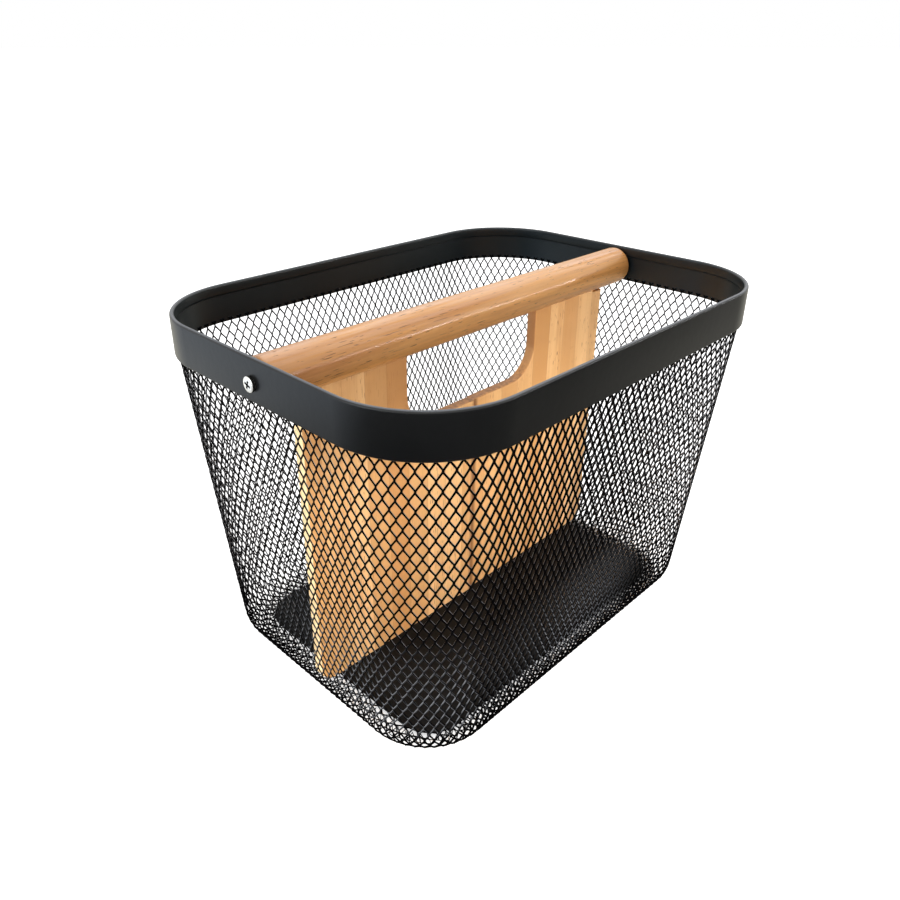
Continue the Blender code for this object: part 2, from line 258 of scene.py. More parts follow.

# where painted light goes on the strands: each a range of a direction, a height or a place along X, some with the
# share at its ends
strandRanges = {
    "lowWall": (0.085, 0.050), "overCurve": (0.017, 0.024), "turned": (0.0, -0.15), "outside": (-0.1, 0.2, 0.0, 0.42),
    "rising": (0.0, 0.10), "risingPlace": (-0.04, -0.12, 0.0, 0.9),
    "sinking": (-0.05, -0.15), "sinkingLeft": (-0.14, -0.06), "sinkingRight": (0.05, -0.05, 0.0, 1.3),
    "innerRising": (0.12, 0.22), "innerLow": (0.035, 0.070), "innerHigh": (0.1865, 0.1855),
}


# share of painted light on the strands: low down, on one slant at the left and on the other at the right, and on inner
# faces
def strandLight(tree, upward, outward, around, parts):
    def share(value, key):
        return addRange(tree, value, *strandRanges[key])

    along, height = parts["X"], parts["Z"]
    rising = addProduct(tree, share(upward, "rising"), share(along, "risingPlace"))
    sinking = addProduct(tree, share(upward, "sinking"), share(along, "sinkingLeft"), share(along, "sinkingRight"))
    near = addProduct(
        tree, addMath(tree, "ADD", rising, sinking), share(height, "lowWall"), share(height, "overCurve"),
        share(around, "turned"), share(outward, "outside"))
    far = addProduct(
        tree, share(upward, "innerRising"), addRange(tree, outward, *innerFaces), share(height, "innerLow"),
        share(height, "innerHigh"))
    return addMath(tree, "ADD", near, far)


def coatMaterial(name, finish):
    material, tree, shader, place = newMaterial(name, {"Specular IOR Level": finish["specular"]})
    coat = addNode(tree, "ShaderNodeGroup", {
        "Place": place, "Colour": (*finish["colour"], 1), "Dust": finish["dust"],
        "Gloss Change": finish["glossChange"], "Roughness": finish["roughness"]}, node_tree=coatGroup)
    normal = addNode(tree, "ShaderNodeNewGeometry").outputs["Normal"]
    upward = partsOf(tree, normal)["Z"]
    flat = addVector(tree, "NORMALIZE", addVector(tree, "MULTIPLY", place, (1, 1, 0)))
    outward = addVector(tree, "DOT_PRODUCT", normal, flat)
    # painted highlight on the faces that look up, such as the top of the band's bead
    if finish["edge"]:
        coat.inputs["Painted Light Colour"].default_value = (*finish["edge"], 1)
        tree.links.new(addRange(tree, upward, *finish["highlightFacing"]), coat.inputs["Painted Light"])
    # painted light on the strands, where strandLight says they look lit
    if finish["strand"]:
        coat.inputs["Painted Light Colour"].default_value = (*finish["strand"], 1)
        around = addVector(tree, "DOT_PRODUCT", normal, addVector(tree, "CROSS_PRODUCT", (0, 0, 1), flat))
        tree.links.new(strandLight(tree, upward, outward, around, partsOf(tree, place)), coat.inputs["Painted Light"])
    colour = coat.outputs["Colour"]
    # painted light: the inner faces get a lighter, bluer colour that evens out the warm reflection of the wood
    if finish["inside"]:
        colour = addMix(tree, addRange(tree, outward, *innerFaces), colour, (*finish["inside"], 1))
    tree.links.new(colour, shader.inputs["Base Color"])
    tree.links.new(coat.outputs["Roughness"], shader.inputs["Roughness"])
    linkBump(tree, shader, coat.outputs["Height"], finish)
    return material


# on the band, the 'edge' colour is a painted highlight on the faces that look up
bandFinish = {
    "colour": (0.0024, 0.0025, 0.0027), "roughness": 0.33, "glossChange": 0.10, "dust": 0.02, "bump": 0.35,
    "bumpDepth": 0.00012, "specular": 0.5, "edge": (0.100, 0.108, 0.125), "highlightFacing": (0.72, 1.0),
    # the band's 'inside' colour is painted light on its inner faces, lighter and bluer
    "strand": None, "inside": (0.005, 0.0095, 0.0125),
}
# on the mesh, the 'strand' colour is painted light on the strands' faces
meshFinish = {
    "colour": (0.0012, 0.0012, 0.0014), "roughness": 0.45, "glossChange": 0.10, "dust": 0.01, "bump": 0.25,
    "bumpDepth": 0.00010, "specular": 0.02, "edge": None, "strand": (0.31, 0.32, 0.35), "inside": None,
}
plateFinish = {
    "colour": (0.0030, 0.0032, 0.0034), "roughness": 0.62, "glossChange": 0.12, "dust": 0.10, "bump": 0.40,
    "bumpDepth": 0.00012, "specular": 0.14, "edge": None, "strand": None, "inside": None,
}
bandCoat = coatMaterial("bandPowderCoat", bandFinish)
meshCoat = coatMaterial("meshPowderCoat", meshFinish)
plateCoat = coatMaterial("platePowderCoat", plateFinish)


# Rim band: a closed section, as inset and height, carried round a rounded rectangle

band = {
    "halfLength": 0.150, "halfWidth": 0.1125, "cornerRadius": 0.0535, "cornerSteps": 28,
    "low": 0.189, "high": 0.212, "thickness": 0.0016, "lowRounding": 0.0013, "lowSteps": 6, "lowEdge": 0.0003,
    "beadWidth": 0.0026, "beadDepth": 0.0058, "beadBlend": 0.0010, "beadSteps": 16, "holeRadius": 0.0025,
    "holeDepth": 0.02, "holeSteps": 32, "ledgeEdge": 0.0002, "ledgeDrop": 0.0001, "ledgeRise": 0.0004, "smooth": 40,
}


# a flat face with rounded corners, about the origin
def roundedOutline(halfLength, halfWidth, radius, cornerSteps):
    bm = bmesh.new()
    bmesh.ops.create_grid(bm, x_segments=1, y_segments=1, size=1)
    bmesh.ops.scale(bm, verts=bm.verts, vec=(halfLength, halfWidth, 1))
    roundOff(bm, bm.verts[:], radius, cornerSteps, "VERTICES")
    return bm


def arcPoints(centre, radius, start, end, steps):
    turns = [math.radians(start + (end - start) * step / steps) for step in range(steps + 1)]
    return [(centre[0] + radius * math.cos(turn), centre[1] + radius * math.sin(turn)) for turn in turns]


def bandSection():
    bead, low, edge = band["beadWidth"] / 2, band["lowRounding"], band["lowEdge"]
    ledge = band["high"] - band["beadDepth"]
    section = arcPoints((low, band["low"] + low), low, 180, 270, band["lowSteps"])
    section += [(band["thickness"] - edge, band["low"]), (band["thickness"], band["low"] + edge)]
    section += [(band["thickness"], ledge - band["beadBlend"])]
    section += [(band["beadWidth"] - band["ledgeEdge"], ledge - band["ledgeDrop"])]
    section += [(band["beadWidth"], ledge + band["ledgeRise"])]
    section += arcPoints((bead, band["high"] - bead), bead, 0, 180, band["beadSteps"])
    return section


# nearest place on the flat core of a rounded rectangle, and the way out from there
def coreAndOut(co, sizes):
    reach = (sizes["halfLength"] - sizes["cornerRadius"], sizes["halfWidth"] - sizes["cornerRadius"])
    core = Vector([max(-most, min(most, place)) for most, place in zip(reach, co)] + [0])
    return core, Vector((co.x, co.y, 0)) - core


def placeRing(verts, radius, inset, height):
    for vert in verts:
        core, out = coreAndOut(vert.co, band)
        vert.co = core + out.normalized() * (radius - inset)
        vert.co.z = height


def buildBand():
    bm = roundedOutline(band["halfLength"], band["halfWidth"], band["cornerRadius"], band["cornerSteps"])
    bmesh.ops.delete(bm, geom=bm.faces[:], context="FACES_ONLY")
    section = bandSection()
    placeRing(bm.verts[:], band["cornerRadius"], *section[0])
    ring = bm.edges[:]
    for inset, height in section[1:] + section[:1]:
        made = bmesh.ops.extrude_edge_only(bm, edges=ring)
        placeRing(newVerts(made), band["cornerRadius"], inset, height)
        ring = openEdges(made)
    bmesh.ops.remove_doubles(bm, verts=bm.verts, dist=mergeDistance)
    bmesh.ops.recalc_face_normals(bm, faces=bm.faces)
    piece = addPiece("rimBand", bm, bandCoat, band["smooth"])
    for side in (-1, 1):
        drill = bmesh.new()
        bmesh.ops.create_cone(
            drill, cap_ends=True, segments=band["holeSteps"], depth=band["holeDepth"],
            radius1=band["holeRadius"], radius2=band["holeRadius"])
        bmesh.ops.rotate(drill, verts=drill.verts, cent=(0, 0, 0), matrix=Matrix.Rotation(math.pi / 2, 3, "Y"))
        bmesh.ops.translate(drill, verts=drill.verts, vec=(side * band["halfLength"], 0, handle["height"]))
        cutAway(piece, drill)
    return piece


# Handle: a bar turned round the X axis, with a pilot hole in each end and a slot for each board

handle = {
    "radius": 0.012, "height": 0.199, "halfLength": 0.1466, "endRounding": 0.0025, "endSteps": 8, "barSteps": 12,
    "turnSteps": 96, "pilotRadius": 0.0025, "pilotReach": 0.1213, "mortiseTop": 0.194, "mortiseHalf": 0.0038,
    "mortiseStart": 0.0557, "mortiseEnd": 0.1178, "smooth": 40,
}
seamStep = 0.0004     # the left board stands this much forward, the right one as much back


# turns a profile of places along X and radii round the X axis
def spinProfile(profile, steps):
    bm = bmesh.new()
    points = [bm.verts.new((along, radius, 0)) for along, radius in profile]
    edges = [bm.edges.new(pair) for pair in zip(points, points[1:])]
    bmesh.ops.spin(
        bm, geom=points + edges, cent=(0, 0, 0), axis=(1, 0, 0), angle=2 * math.pi, steps=steps, use_merge=True)
    bmesh.ops.remove_doubles(bm, verts=bm.verts, dist=mergeDistance)
    bmesh.ops.recalc_face_normals(bm, faces=bm.faces)
    return bm


def buildHandle(material):
    rounding, steps = handle["endRounding"], handle["barSteps"]
    end = handle["halfLength"] - rounding
    rounded = arcPoints((end, handle["radius"] - rounding), rounding, 90, 0, handle["endSteps"])
    half = [(end * step / steps, handle["radius"]) for step in range(1, steps)] + rounded
    half += [(handle["halfLength"], handle["pilotRadius"]), (handle["pilotReach"], handle["pilotRadius"])]
    half += [(handle["pilotReach"], 0)]
    profile = [(-along, out) for along, out in reversed(half)] + [(0, handle["radius"])] + half
    bm = spinProfile(profile, handle["turnSteps"])
    bmesh.ops.translate(bm, verts=bm.verts, vec=(0, 0, handle["height"]))
    piece = addPiece("handleBar", bm, material, handle["smooth"])
    for side in (-1, 1):
        low, high = sorted((side * handle["mortiseStart"], side * handle["mortiseEnd"]))
        middle = side * seamStep
        cutAway(piece, boxMesh(
            (low, middle - handle["mortiseHalf"], handle["height"] - 2 * handle["radius"]),
            (high, middle + handle["mortiseHalf"], handle["mortiseTop"])))
    return piece


# Divider boards

board = {
    "thickness": 0.007, "foot": 0.0026, "shoulder": 0.186, "top": 0.1937, "footReach": 0.1264, "topReach": 0.1275,
    "tongueReach": 0.1175, "openingReach": 0.056, "openingFloor": 0.144, "openingRadius": 0.020,
    "footRadius": 0.010, "cornerSteps": 18, "easing": 0.0008, "easingSteps": 3, "easedFrom": 60,
    "seamEasing": 0.0018, "seamSteps": 6, "seamGap": 0.00002, "seamReach": 0.00003, "smooth": 30,
}


# a rectangle cut along the lines of the outline, rounded, pushed out to its thickness and eased
def buildBoard(name, side, material):
    bm = bmesh.new()
    bmesh.ops.create_grid(bm, x_segments=1, y_segments=1, size=0.5)
    bmesh.ops.rotate(bm, verts=bm.verts, cent=(0, 0, 0), matrix=Matrix.Rotation(math.pi / 2, 3, "X"))
    bmesh.ops.scale(bm, verts=bm.verts, vec=(board["topReach"] - board["seamGap"], 1, board["top"] - board["foot"]))
    bmesh.ops.translate(bm, verts=bm.verts, vec=(
        (board["topReach"] + board["seamGap"]) / 2, 0, (board["top"] + board["foot"]) / 2))
    for place, direction in (
            ((board["openingReach"], 0, 0), (1, 0, 0)), ((board["tongueReach"], 0, 0), (1, 0, 0)),
            ((0, 0, board["openingFloor"]), (0, 0, 1)), ((0, 0, board["shoulder"]), (0, 0, 1))):
        bmesh.ops.bisect_plane(
            bm, geom=bm.verts[:] + bm.edges[:] + bm.faces[:], dist=cutDistance, plane_co=place, plane_no=direction)
    gone = []
    for face in bm.faces:
        middle = face.calc_center_median()
        inOpening = middle.x < board["openingReach"] and middle.z > board["openingFloor"]
        overShoulder = middle.x > board["tongueReach"] and middle.z > board["shoulder"]
        if inOpening or overShoulder:
            gone.append(face)
    bmesh.ops.delete(bm, geom=gone, context="FACES")
    bmesh.ops.dissolve_limit(
        bm, angle_limit=math.radians(1), use_dissolve_boundaries=False, verts=bm.verts, edges=bm.edges)

    def cornersAt(x, z):
        return [vert for vert in bm.verts if abs(vert.co.x - x) < sameSpot and abs(vert.co.z - z) < sameSpot]

    for vert in cornersAt(board["topReach"], board["foot"]):
        vert.co.x = board["footReach"]
    for corner, radius in (
            ((board["openingReach"], board["openingFloor"]), board["openingRadius"]),
            ((board["footReach"], board["foot"]), board["footRadius"])):
        roundOff(bm, cornersAt(*corner), radius, board["cornerSteps"], "VERTICES")
    near = side * seamStep - board["thickness"] / 2
    bmesh.ops.translate(bm, verts=bm.verts, vec=(0, near, 0))
    pushed = bmesh.ops.extrude_face_region(bm, geom=bm.faces[:])
    bmesh.ops.translate(bm, verts=newVerts(pushed), vec=(0, board["thickness"], 0))
    if side < 0:
        bmesh.ops.scale(bm, verts=bm.verts, vec=(-1, 1, 1))
    bmesh.ops.recalc_face_normals(bm, faces=bm.faces)

    def atSeam(edge):
        return all(abs(vert.co.x) < board["seamReach"] for vert in edge.verts)

    far = near + board["thickness"] / 2
    outline = [edge for edge in bm.edges if len({round(vert.co.y, 6) for vert in edge.verts}) == 1]
    seam = [edge for edge in outline if atSeam(edge)]
    if side < 0:
        seam = [edge for edge in seam if edge.verts[0].co.y < far]
        roundOff(bm, seam, board["seamEasing"], board["seamSteps"])
    outline = [
        edge for edge in bm.edges
        if len({round(vert.co.y, 6) for vert in edge.verts}) == 1
        and len(edge.link_faces) == 2 and edge.calc_face_angle(0) > math.radians(board["easedFrom"])]
    roundOff(bm, outline, board["easing"], board["easingSteps"])
    return addPiece(name, bm, material, board["smooth"])


# Screws

screw = {
    "headRadius": 0.0040, "headHeight": 0.0020, "headEdge": 0.0013, "domeSteps": 12, "domePower": 0.8,
    "underEdge": 0.0002, "seat": 0.1503, "shankRadius": 0.0022, "length": 0.028, "tip": 0.004, "turnSteps": 64,
    "threadStart": 0.002, "threadPitch": 0.0008, "threadDepth": 0.0003,
    "recessSpan": 0.0044, "recessWidth": 0.0012, "recessDepth": 0.0014, "recessTurn": 20, "smooth": 30,
}


def buildScrew(name, side, material):
    dome = screw["headHeight"] - screw["headEdge"]
    profile = [(-screw["headHeight"], 0)]
    for step in range(1, screw["domeSteps"] + 1):
        turn = math.radians(90 * step / screw["domeSteps"])
        rise = dome * math.cos(turn) ** screw["domePower"]
        profile.append((-screw["headEdge"] - rise, screw["headRadius"] * math.sin(turn) ** screw["domePower"]))
    profile += [(-screw["underEdge"], screw["headRadius"]), (0, screw["headRadius"] - screw["underEdge"])]
    profile += [(0, screw["shankRadius"])]
    start, pitch = screw["threadStart"], screw["threadPitch"]
    while start + pitch < screw["length"] - screw["tip"]:
        profile += [(start, screw["shankRadius"]), (start + pitch / 2, screw["shankRadius"] - screw["threadDepth"])]
        start += pitch
    profile += [(screw["length"] - screw["tip"], screw["shankRadius"]), (screw["length"], 0)]
    bm = spinProfile(profile, screw["turnSteps"])
    place = Matrix.Translation((side * screw["seat"], 0, handle["height"]))
    if side > 0:
        place = place @ Matrix.Rotation(math.pi, 4, "Z")
    bmesh.ops.transform(bm, matrix=place, verts=bm.verts)
    piece = addPiece(name, bm, material, screw["smooth"])
    tilt = Matrix.Rotation(math.radians(screw["recessTurn"]), 4, "X")
    for turn in (0, math.pi / 2):
        cross = boxMesh(
            (-screw["headHeight"] * 2, -screw["recessSpan"] / 2, -screw["recessWidth"] / 2),
            (-screw["headHeight"] + screw["recessDepth"], screw["recessSpan"] / 2, screw["recessWidth"] / 2))
        bmesh.ops.transform(cross, matrix=place @ tilt @ Matrix.Rotation(turn, 4, "X"), verts=cross.verts)
        cutAway(piece, cross)
    return piece


# Base plate

plate = {
    "halfLength": 0.11372, "halfWidth": 0.07872, "cornerRadius": 0.0221, "cornerSteps": 20, "low": 0.0015,
    "high": 0.0023, "easing": 0.0002, "easingSteps": 2, "smooth": 40,
}


def buildPlate():
    bm = roundedOutline(plate["halfLength"], plate["halfWidth"], plate["cornerRadius"], plate["cornerSteps"])
    bmesh.ops.translate(bm, verts=bm.verts, vec=(0, 0, plate["low"]))
    pushed = bmesh.ops.extrude_face_region(bm, geom=bm.faces[:])
    bmesh.ops.translate(bm, verts=newVerts(pushed), vec=(0, 0, plate["high"] - plate["low"]))
    bmesh.ops.recalc_face_normals(bm, faces=bm.faces)
    rims = [edge for edge in bm.edges if abs(edge.verts[0].co.z - edge.verts[1].co.z) < mergeDistance]
    roundOff(bm, rims, plate["easing"], plate["easingSteps"])
    return addPiece("basePlate", bm, plateCoat, plate["smooth"])


# Mesh tub: expanded steel sheet with pointed openings that stand upright

tub = {
    "halfLength": 0.1481, "halfWidth": 0.1106, "topRadius": 0.0516, "floorRadius": 0.040,
    "taper": 0.0167, "fillet": 0.016, "columns": 164, "rowPitch": 0.00515, "columnStart": 0.05, "rowCount": 40,
    "rowsAbove": 1.5, "outwardDrop": 0.02, "smooth": 30,
    "bond": 0.0011, "strandWidth": 0.00073, "strandDepth": 0.00052, "sheetMiddle": 0.0003, "cornerKeep": 0.65,
    "topOverlap": 0.0022, "strandTilt": 0.00028, "knuckle": 0.00010, "sideReach": 0.0010,
}
wallLean = math.atan2(tub["taper"], band["low"])
floorSetback = tub["taper"] * (1 - tub["fillet"] / band["low"]) + tub["fillet"] / math.cos(wallLean)
wallEnd = (floorSetback - tub["fillet"] * math.cos(wallLean), tub["fillet"] * (1 - math.sin(wallLean)))
wallLength = math.hypot(wallEnd[0], band["low"] - wallEnd[1])


# setback, height and inward direction at a distance down the outside from the band's lower edge
def tubProfile(depth):
    if depth <= wallLength:
        share = depth / wallLength
        setback = wallEnd[0] * share
        return setback, band["low"] + (wallEnd[1] - band["low"]) * share, (math.cos(wallLean), math.sin(wallLean))
    turn = (depth - wallLength) / tub["fillet"]
    full = math.pi / 2 - wallLean
    if turn <= full:
        angle = math.pi + wallLean + turn
        inward = (-math.cos(angle), -math.sin(angle))
        return floorSetback - inward[0] * tub["fillet"], tub["fillet"] - inward[1] * tub["fillet"], inward
    return floorSetback + depth - wallLength - tub["fillet"] * full, 0.0, (0.0, 1.0)


def tubRadius(setback):
    if setback <= tub["taper"]:
        return tub["topRadius"] + (tub["floorRadius"] - tub["topRadius"]) * max(setback, 0) / tub["taper"]
    return tub["floorRadius"] - (setback - tub["taper"])


# place on the middle of the sheet; share runs from 0 to 1, from the left wall's middle towards the front
def tubPlace(share, depth):
    top = tub["topRadius"]
    flats = (tub["halfWidth"] - top, tub["halfLength"] - top)
    quarterLength = sum(flats) + math.pi / 2 * top
    along = (share % 1) * 4 * quarterLength
    quarter = int(along // quarterLength)
    shortFirst = quarter % 2 == 0
    firstTop, secondTop = flats if shortFirst else flats[::-1]
    fromCorner = along - quarter * quarterLength - firstTop - math.pi / 4 * top
    setback, height, inward = tubProfile(depth)
    offset = inward[0] * tub["sheetMiddle"]
    outer = tubRadius(setback)
    radius = outer - offset
    halfSizes = (tub["halfWidth"] - setback, tub["halfLength"] - setback)
    first, second = (halfSizes[0] - outer, halfSizes[1] - outer)
    if not shortFirst:
        first, second = second, first
    flatTop, flat = (firstTop, first) if fromCorner < 0 else (secondTop, second)
    arcTop, arcNow = math.pi / 4 * top, math.pi / 4 * outer
    pace = 1 - (1 - tub["cornerKeep"]) * (1 - arcNow / arcTop)
    distance = abs(fromCorner)
    if distance <= arcTop:
        distance *= pace
    else:
        distance = pace * arcTop + (distance - arcTop) * (flat + arcNow - pace * arcTop) / flatTop
    side = -1 if fromCorner < 0 else 1
    signs = ((-1, -1), (1, -1), (1, 1), (-1, 1))[quarter]
    centre = Vector((signs[0] * (halfSizes[1] - outer), signs[1] * (halfSizes[0] - outer)))
    diagonal = math.radians(225 + 90 * quarter)
    angle = diagonal + side * min(distance, arcNow) / outer
    spot = centre + Vector((math.cos(angle), math.sin(angle))) * radius
    if distance > arcNow:
        spot += Vector((-math.sin(angle), math.cos(angle))) * side * (distance - arcNow)
    return Vector((spot.x, spot.y, height + inward[1] * tub["sheetMiddle"]))


# leaves a strand round each face, half its width on either side of each edge, tilted and wider at the bonds
def openSheet(bm, width, tilt=0.0, knuckle=0.0):
    openings = bm.faces[:]
    bmesh.ops.inset_individual(bm, faces=openings, thickness=width / 2, use_even_offset=True)
    bm.normal_update()
    for face in openings:
        middle = face.calc_center_median()
        along = Vector((-middle.y, middle.x, 0)).normalized()
        outward = face.normal * min(1, middle.z / tub["fillet"])
        if outward.dot(Vector((middle.x, middle.y, -tub["outwardDrop"]))) < 0:
            outward.negate()
        for vert in face.verts:
            reach = (vert.co - middle).dot(along)
            if abs(reach) > tub["sideReach"]:
                vert.co -= outward * math.copysign(tilt, reach) + along * math.copysign(knuckle, reach)
    bmesh.ops.delete(bm, geom=openings, context="FACES_ONLY")


def thicken(piece, depth):
    step = piece.modifiers.new("sheetThickness", "SOLIDIFY")
    step.thickness = depth
    step.offset = 0
    return piece


# a tube with two columns of faces per opening and two rows per pitch, joined into staggered six-sided openings
def buildWallMesh():
    halfColumns = tub["columns"] * 2
    bm = bmesh.new()
    bmesh.ops.create_circle(bm, segments=halfColumns, radius=1)
    ring = bm.edges[:]
    for row in range(tub["rowCount"]):
        made = bmesh.ops.extrude_edge_only(bm, edges=ring)
        bmesh.ops.translate(bm, verts=newVerts(made), vec=(0, 0, 1))
        ring = openEdges(made)

    def gridPlace(vert):
        column = round(math.atan2(vert.co.y, vert.co.x) / (2 * math.pi) * halfColumns) % halfColumns
        return column, round(vert.co.z)

    places = {vert: gridPlace(vert) for vert in bm.verts}
    joined = []
    for edge in bm.edges:
        first, second = (places[vert] for vert in edge.verts)
        if first[0] == second[0] and (first[0] + min(first[1], second[1]) + 1) % 2:
            joined.append(edge)
    bmesh.ops.dissolve_edges(bm, edges=joined, use_verts=False)
    zigzag = (tub["rowPitch"] - tub["bond"]) / 2
    for vert, (column, line) in places.items():
        shift = zigzag if (column + line) % 2 else -zigzag
        depth = (line - tub["rowsAbove"]) * tub["rowPitch"] + shift * (1 if line > 0 else 0)
        vert.co = tubPlace((tub["columnStart"] + column / 2) / tub["columns"], depth)
    openSheet(bm, tub["strandWidth"], tub["strandTilt"], tub["knuckle"])
    top = band["low"] + tub["topOverlap"]
    bmesh.ops.bisect_plane(
        bm, geom=bm.verts[:] + bm.edges[:] + bm.faces[:], dist=cutDistance,
        plane_co=(0, 0, top), plane_no=(0, 0, 1), clear_outer=True)
    back = bm.copy()
    for half, name, side in ((bm, "meshFront", 1), (back, "meshBack", -1)):
        gone = [face for face in half.faces if face.calc_center_median().y * side > 0]
        bmesh.ops.delete(half, geom=gone, context="FACES")
        bmesh.ops.recalc_face_normals(half, faces=half.faces)
        thicken(addPiece(name, half, meshCoat, tub["smooth"]), tub["strandDepth"])


floorPanel = {
    "columnPitch": 0.0058, "rowPitch": 0.00515, "bond": 0.0013, "height": 0.0010, "depth": 0.0004,
    "halfLength": 0.1167, "halfWidth": 0.0792, "cornerRadius": 0.0253, "turnRadius": 0.0140, "turnUp": 24,
}


# a flat panel on the tub's floor, with its edges turned up inside the fillet
def buildFloorMesh():
    reach = floorPanel["turnRadius"] * math.radians(floorPanel["turnUp"])
    columns = 2 * math.ceil((floorPanel["halfLength"] + reach) / floorPanel["columnPitch"])
    rows = 2 * math.ceil((floorPanel["halfWidth"] + reach) / floorPanel["rowPitch"])
    bm = bmesh.new()
    bmesh.ops.create_grid(bm, x_segments=columns * 2, y_segments=rows, size=0.5)
    bmesh.ops.scale(bm, verts=bm.verts, vec=(columns * 2, rows, 1))
    places = {vert: (round(vert.co.x + columns), round(vert.co.y + rows / 2)) for vert in bm.verts}
    joined = []
    for edge in bm.edges:
        first, second = (places[vert] for vert in edge.verts)
        if first[0] == second[0] and (first[0] + min(first[1], second[1])) % 2:
            joined.append(edge)
    bmesh.ops.dissolve_edges(bm, edges=joined, use_verts=False)
    zigzag = (floorPanel["rowPitch"] - floorPanel["bond"]) / 2
    for vert, (column, line) in places.items():
        shift = -zigzag if (column + line) % 2 else zigzag
        vert.co.x *= floorPanel["columnPitch"] / 2
        vert.co.y = vert.co.y * floorPanel["rowPitch"] + shift
    corner, bend = floorPanel["cornerRadius"], floorPanel["turnRadius"]
    gone = [face for face in bm.faces if coreAndOut(face.calc_center_median(), floorPanel)[1].length - corner > reach]
    bmesh.ops.delete(bm, geom=gone, context="FACES")
    for vert in bm.verts:
        core, out = coreAndOut(vert.co, floorPanel)
        vert.co.z = floorPanel["height"]
        if out.length > corner:
            turn = (out.length - corner) / bend
            vert.co = core + out.normalized() * (corner + bend * math.sin(turn))
            vert.co.z = floorPanel["height"] + bend * (1 - math.cos(turn))
    openSheet(bm, tub["strandWidth"])
    bmesh.ops.recalc_face_normals(bm, faces=bm.faces)
    return thicken(addPiece("meshFloor", bm, meshCoat, tub["smooth"]), floorPanel["depth"])


# Wood and screw finishes

handleWood = {
    "light": (0.91, 0.440, 0.132), "dark": (0.63, 0.245, 0.060), "pore": (0.11, 0.036, 0.012),
    "strengths": {"Figure": 0.8, "Fibre": 0.50, "Pores": 0.72, "Pore Length": 0.075},
    # painted shade: the bar darker towards its left end
    "leftEndShade": (0.82, 0.76, 0.74), "leftEndShadeOver": (-0.05, -0.15),
    "roughnessOver": (0.17, 0.24, 0.50, 0.36), "coatOver": (0.145, 0.215, 0.08, 0.85), "coatRoughness": 0.09,
    "bump": 0.25, "bumpDepth": 0.0001,
}
boardWood = {
    "light": (0.86, 0.515, 0.230), "dark": (0.62, 0.310, 0.105), "pore": (0.20, 0.072, 0.022),
    "strengths": {"Figure": 0.65, "Fibre": 0.60, "Pores": 1.0, "Pore Length": 0.09},
    "staveWidth": 0.0152, "staveSeed": 17.0, "staveShift": 0.7, "staveTones": (0.1, 0.9, 0.0, 0.85),
    "orange": (0.58, 0.265, 0.080), "orangeShare": 0.85, "jointOver": (0.484, 0.497, 0.0, 0.40),
    # a darker strip along the seam between the boards: partly a dark joint, partly painted shade of the step between
    # them
    "seamJointAndShadeOver": (0.0034, 0.00136, 0.0, 0.92),
    # painted shade over the upper part of the boards, stronger on the left
    "topShade": (0.60, 0.57, 0.54), "topShadeOver": (0.120, 0.165, 0.0, 0.72), "topShadeLeft": (0.03, -0.03, 1.0, 1.35),
    "sideways": (0.55, 0.90), "paleEnd": (0.93, 0.70, 0.40), "paleOver": (0.121, 0.124, 0.0, 0.85),
    "endGrain": (0.27, 0.110, 0.034), "openingOver": (0.062, 0.059, 0.0, 0.55), "acrossOver": (0.55, 0.85, 0.0, 0.90),
    "rings": (420.0, 3.0), "ringsOver": (0.35, 0.65),
    "roughness": 0.45, "endRoughness": 0.70, "coat": 0.30, "coatRoughness": 0.30, "bump": 0.3, "bumpDepth": 0.0001,
}
screwNickel = {
    "bright": (0.95, 0.94, 0.90, 1), "dull": (0.80, 0.78, 0.73, 1), "shade": (0.03, 0.03, 0.028, 1), "metallic": 0.8,
    "cloud": (500.0, 3.0), "dullOver": (0.4, 0.7, 0.0, 0.5), "roughnessOver": (0.3, 0.7, 0.16, 0.32),
    "rimFacing": (0.70, 0.45), "rimFrom": (0.1500, 0.1503), "recessUnder": (0.1519, 0.1516),
    "recessWithin": (0.0026, 0.0024), "markScale": 9000.0, "markDetail": 2.0, "bump": 0.15, "bumpDepth": 0.00004,
}


def grainNode(tree, place, finish):
    tones = {label: (*finish[label.lower()], 1) for label in ("Light", "Dark", "Pore")}
    grain = addNode(tree, "ShaderNodeGroup", {"Place": place, **tones, **finish["strengths"]}, node_tree=grainGroup)
    return grain.outputs


# grain along the bar, with painted shade that darkens the left end, and a coat that shows only on the smoother fibres
def handleMaterial():
    finish = handleWood
    material, tree, shader, place = newMaterial("handleWood", {"Coat Roughness": finish["coatRoughness"]})
    turned = addNode(tree, "ShaderNodeMapping", {"Vector": place, "Rotation": (0, math.pi / 2, 0)}).outputs[0]
    grain = grainNode(tree, turned, finish)
    # painted shade: the left end of the bar darker
    leftEndShade = addRange(tree, partsOf(tree, place)["X"], *finish["leftEndShadeOver"])
    colour = addMix(tree, leftEndShade, grain["Colour"], (*finish["leftEndShade"], 1), "MULTIPLY")
    tree.links.new(colour, shader.inputs["Base Color"])
    tree.links.new(addRange(tree, grain["Height"], *finish["roughnessOver"]), shader.inputs["Roughness"])
    tree.links.new(addRange(tree, grain["Height"], *finish["coatOver"]), shader.inputs["Coat Weight"])
    linkBump(tree, shader, grain["Height"], finish)
    return material


